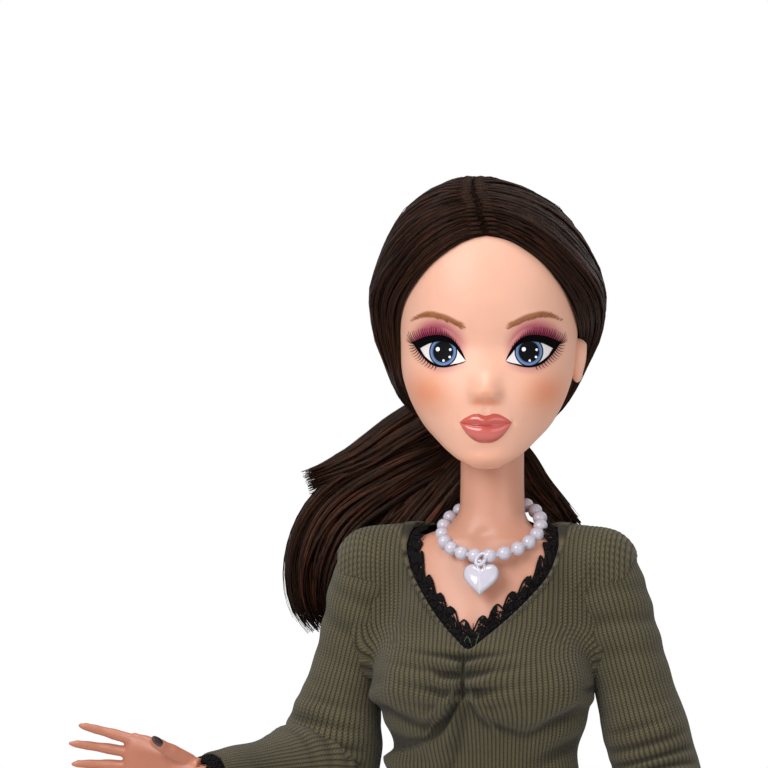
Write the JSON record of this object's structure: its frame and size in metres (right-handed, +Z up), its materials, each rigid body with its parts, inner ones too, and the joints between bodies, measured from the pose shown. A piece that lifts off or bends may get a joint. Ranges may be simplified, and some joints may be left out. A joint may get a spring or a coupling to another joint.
{
  "type": "dressed fashion doll",
  "caption": "Slim articulated fashion doll with a large head, long side-swept ponytail, V-neck knit sweater, lace trim, pearl necklace, trousers and flat ankle boots.",
  "frame": {"origin": "on the floor, under the middle of the standing doll's overall width and depth", "axes": "+Z up along the body, -Y the way the torso faces, +X towards the doll's left hand"},
  "size_m": [0.1063, 0.0604, 0.2914],
  "materials": {
    "body_skin": "satin skin-tone hard plastic",
    "vinyl_skin": "satin skin-tone soft vinyl with painted features",
    "hair": "glossy rooted synthetic fibre, dark brown",
    "knit": "fine ribbed olive knit",
    "lace": "black stretch lace",
    "twill": "dark woven twill",
    "boot": "smooth black imitation leather",
    "pearl": "pearlescent lilac white",
    "steel": "turned steel pin"
  },
  "bodies": {
    "pelvis": {"pelvis": "body_skin", "trouser_seat": "twill"},
    "torso": {"torso_front": "body_skin", "torso_back": "body_skin", "sweater_body": "knit", "neckline_lace": "lace", "necklace": "pearl"},
    "neck": {"neck_knob": "body_skin"},
    "head": {"head_shell": "vinyl_skin", "head_pin": "steel", "scalp_hair": "hair", "hair_tie": "lace", "ponytail": "hair"},
    "right_shoulder": {"right_shoulder_hub": "body_skin", "right_shoulder_pin": "steel"},
    "right_arm": {"right_upper_arm": "body_skin", "right_sleeve": "knit"},
    "right_elbow": {"right_elbow_fork": "body_skin", "right_elbow_pin": "steel"},
    "right_forearm": {"right_forearm": "body_skin", "right_wrist_pin": "steel", "right_cuff_lace": "lace"},
    "right_hand": {"right_hand": "vinyl_skin"},
    "right_hip": {"right_hip_hub": "body_skin", "right_hip_pin": "steel"},
    "right_thigh": {"right_thigh": "body_skin", "right_knee_pin": "steel", "right_trouser_leg": "twill"},
    "right_shin": {"right_lower_leg": "body_skin", "right_boot_upper": "boot", "right_boot_sole": "boot"},
    "left_shoulder": {"left_shoulder_hub": "body_skin", "left_shoulder_pin": "steel"},
    "left_arm": {"left_upper_arm": "body_skin", "left_sleeve": "knit"},
    "left_elbow": {"left_elbow_fork": "body_skin", "left_elbow_pin": "steel"},
    "left_forearm": {"left_forearm": "body_skin", "left_wrist_pin": "steel", "left_cuff_lace": "lace"},
    "left_hand": {"left_hand": "vinyl_skin"},
    "left_hip": {"left_hip_hub": "body_skin", "left_hip_pin": "steel"},
    "left_thigh": {"left_thigh": "body_skin", "left_knee_pin": "steel", "left_trouser_leg": "twill"},
    "left_shin": {"left_lower_leg": "body_skin", "left_boot_upper": "boot", "left_boot_sole": "boot"}
  },
  "joints": [
    {"name": "waist_twist", "type": "hinge", "parent": "pelvis", "child": "torso", "pos_m": [0.011, 0.00643, 0.19], "axis": [0, 0, 1], "range_deg": [-30, 30], "deforming": ["sweater_body", "trouser_seat"]},
    {"name": "head_turn", "type": "hinge", "parent": "torso", "child": "neck", "pos_m": [0.011, 0.00743, 0.251], "axis": [0, 0, 1], "range_deg": [-80, 58], "deforming": ["ponytail", "neckline_lace"]},
    {"name": "head_nod", "type": "hinge", "parent": "neck", "child": "head", "pos_m": [0.011, 0.00743, 0.251], "axis": [0.9816, 0.1908, 0], "range_deg": [-10, 10]},
    {"name": "right_shoulder_swing", "type": "hinge", "parent": "torso", "child": "right_shoulder", "pos_m": [-0.0085, 0.00643, 0.226], "axis": [-1, 0, 0], "range_deg": [-50, 165], "deforming": ["right_sleeve"]},
    {"name": "right_shoulder_raise", "type": "hinge", "parent": "right_shoulder", "child": "right_arm", "pos_m": [-0.0085, 0.00643, 0.226], "axis": [0, 0.9991, -0.0419], "range_deg": [-5, 70]},
    {"name": "right_elbow_twist", "type": "hinge", "parent": "right_arm", "child": "right_elbow", "pos_m": [-0.01661, 0.00501, 0.19198], "axis": [-0.2317, -0.0407, -0.9719], "range_deg": [-60, 50]},
    {"name": "right_elbow_bend", "type": "hinge", "parent": "right_elbow", "child": "right_forearm", "pos_m": [-0.01661, 0.00501, 0.19198], "axis": [-0.8508, 0.4929, 0.1822], "range_deg": [-81, 25], "deforming": ["right_cuff_lace"]},
    {"name": "right_wrist_bend", "type": "hinge", "parent": "right_forearm", "child": "right_hand", "pos_m": [-0.03318, -0.02353, 0.19182], "axis": [-0.1551, 0.0957, -0.9832], "range_deg": [-110, 10]},
    {"name": "left_shoulder_swing", "type": "hinge", "parent": "torso", "child": "left_shoulder", "pos_m": [0.0305, 0.00643, 0.226], "axis": [-1, 0, 0], "range_deg": [-50, 165], "deforming": ["left_sleeve"]},
    {"name": "left_shoulder_raise", "type": "hinge", "parent": "left_shoulder", "child": "left_arm", "pos_m": [0.0305, 0.00643, 0.226], "axis": [0, -0.9986, -0.0523], "range_deg": [-5, 70]},
    {"name": "left_elbow_twist", "type": "hinge", "parent": "left_arm", "child": "left_elbow", "pos_m": [0.03956, 0.0082, 0.19224], "axis": [-0.2588, -0.0506, 0.9646], "range_deg": [-60, 60]},
    {"name": "left_elbow_bend", "type": "hinge", "parent": "left_elbow", "child": "left_forearm", "pos_m": [0.03956, 0.0082, 0.19224], "axis": [-0.9659, 0.0135, -0.2585], "range_deg": [-16, 90], "deforming": ["left_cuff_lace"]},
    {"name": "left_wrist_bend", "type": "hinge", "parent": "left_forearm", "child": "left_hand", "pos_m": [0.04777, 0.00072, 0.16116], "axis": [-0.0713, -0.9739, 0.2156], "range_deg": [-60, 60]},
    {"name": "right_hip_swing", "type": "hinge", "parent": "pelvis", "child": "right_hip", "pos_m": [0, 0.00643, 0.15], "axis": [-1, 0, 0], "range_deg": [-20, 90], "deforming": ["right_trouser_leg"]},
    {"name": "right_hip_spread", "type": "hinge", "parent": "right_hip", "child": "right_thigh", "pos_m": [0, 0.00643, 0.15], "axis": [0, 1, 0], "range_deg": [0, 40]},
    {"name": "right_knee_bend", "type": "hinge", "parent": "right_thigh", "child": "right_shin", "pos_m": [0, 0.00643, 0.086], "axis": [1, 0, 0], "range_deg": [0, 105]},
    {"name": "left_hip_swing", "type": "hinge", "parent": "pelvis", "child": "left_hip", "pos_m": [0.022, 0.00643, 0.15], "axis": [-1, 0, 0], "range_deg": [-20, 90], "deforming": ["left_trouser_leg"]},
    {"name": "left_hip_spread", "type": "hinge", "parent": "left_hip", "child": "left_thigh", "pos_m": [0.022, 0.00643, 0.15], "axis": [0, -1, 0], "range_deg": [0, 40]},
    {"name": "left_knee_bend", "type": "hinge", "parent": "left_thigh", "child": "left_shin", "pos_m": [0.022, 0.00643, 0.086], "axis": [1, 0, 0], "range_deg": [0, 105]}
  ]
}
